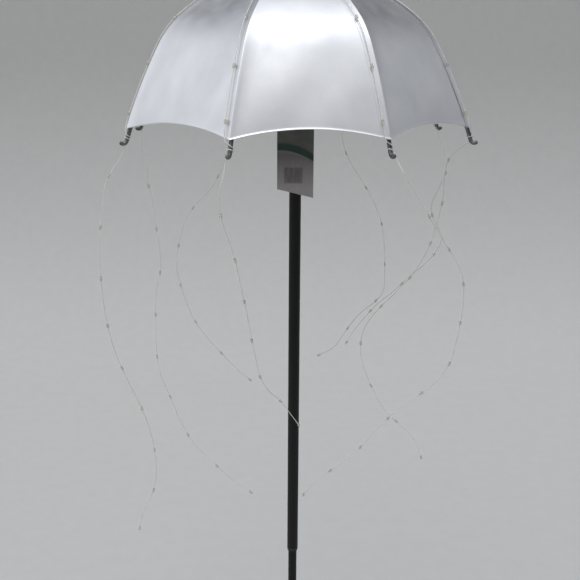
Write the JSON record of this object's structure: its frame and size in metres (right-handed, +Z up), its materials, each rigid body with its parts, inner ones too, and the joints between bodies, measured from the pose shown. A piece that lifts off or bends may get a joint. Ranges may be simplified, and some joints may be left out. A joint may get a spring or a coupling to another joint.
{
  "type": "umbrella garden stake light",
  "caption": "Sheet-metal umbrella ornament on a slim garden stake, with a solar cap on its crown and strings of tiny rain lights hanging from the hooks of its ribs.",
  "frame": {"origin": "on the pole's axis at the ground line, at the top of the spike that goes into the soil", "axes": "+Z up along the pole; -Y towards the tag and the front of the umbrella; +X to the right seen from the front"},
  "size_m": [0.3658, 0.3599, 1.149],
  "materials": {
    "canopy_metal": "satin silver sheet, softly grained",
    "rib_metal": "dull zinc-plated rod",
    "pole_black": "satin black powder coat",
    "spike_black": "satin black paint, worn by soil",
    "zinc": "bright zinc plate",
    "hub_black": "satin black",
    "black_plastic": "fine-textured moulding",
    "rubber": "matte",
    "cell_blue": "dark blue silicon under its coating",
    "window_clear": "clear cover sheet",
    "board_green": "solder mask",
    "switch_metal": "stamped",
    "button_red": "smooth",
    "battery_wrap": "shrink film",
    "brass": "machined",
    "wire_silver": "fine twisted enamelled wire",
    "led_resin": "clear resin bead",
    "tag_board": "coated card",
    "tie_clear": "translucent nylon"
  },
  "bodies": {
    "stake": {"pole_lower": "pole_black", "ground_spike": "spike_black", "step_bar": "spike_black", "step_screw": "zinc"},
    "bush": {"joint_bush": "black_plastic"},
    "canopy": {"gore_1": "canopy_metal", "rib_1": "rib_metal", "strand_1": "wire_silver", "leds_1": "led_resin", "gore_2": "canopy_metal", "rib_2": "rib_metal", "strand_2": "wire_silver", "leds_2": "led_resin", "gore_3": "canopy_metal", "rib_3": "rib_metal", "strand_3": "wire_silver", "leds_3": "led_resin", "gore_4": "canopy_metal", "rib_4": "rib_metal", "strand_4": "wire_silver", "leds_4": "led_resin", "gore_5": "canopy_metal", "rib_5": "rib_metal", "strand_5": "wire_silver", "leds_5": "led_resin", "gore_6": "canopy_metal", "rib_6": "rib_metal", "strand_6": "wire_silver", "leds_6": "led_resin", "gore_7": "canopy_metal", "rib_7": "rib_metal", "strand_7": "wire_silver", "leds_7": "led_resin", "gore_8": "canopy_metal", "rib_8": "rib_metal", "strand_8": "wire_silver", "leds_8": "led_resin", "rib_hub": "hub_black", "crown_washer": "canopy_metal", "crown_stud": "zinc", "crown_nut": "zinc", "pole_upper": "pole_black", "cap_base": "black_plastic", "cap_cover": "black_plastic", "cap_gasket": "rubber", "solar_cell": "cell_blue", "cell_window": "window_clear", "circuit_board": "board_green", "tact_switch": "switch_metal", "battery_cell": "battery_wrap", "battery_contacts": "switch_metal", "battery_door": "black_plastic", "door_screws": "zinc", "cap_screws": "zinc", "stud_insert": "brass", "strand_grommets": "rubber"},
    "button": {"power_button": "button_red"},
    "tie": {"tag_tie": "tie_clear"},
    "tag": {"tag_card": "tag_board"}
  },
  "joints": [
    {"name": "bush_turn", "type": "hinge", "parent": "stake", "child": "bush", "pos_m": [0, 0, 0.272], "axis": [0, 0, 1], "continuous": true},
    {"name": "pole_lift", "type": "slide", "parent": "bush", "child": "canopy", "axis": [0, 0, 1], "range_m": [0, 0.06]},
    {"name": "button_press", "type": "slide", "parent": "canopy", "child": "button", "axis": [0, -1, 0], "range_m": [0, 0.0012], "stiffness_N_per_m": 600, "springref_m": -0.0006},
    {"name": "tag_turn", "type": "hinge", "parent": "canopy", "child": "tie", "pos_m": [0, 0, 0.796], "axis": [0, 0, 1], "continuous": true},
    {"name": "tag_swing", "type": "hinge", "parent": "tie", "child": "tag", "pos_m": [0, -0.0114, 0.796], "axis": [1, 0, 0], "range_deg": [-60, 2]}
  ]
}
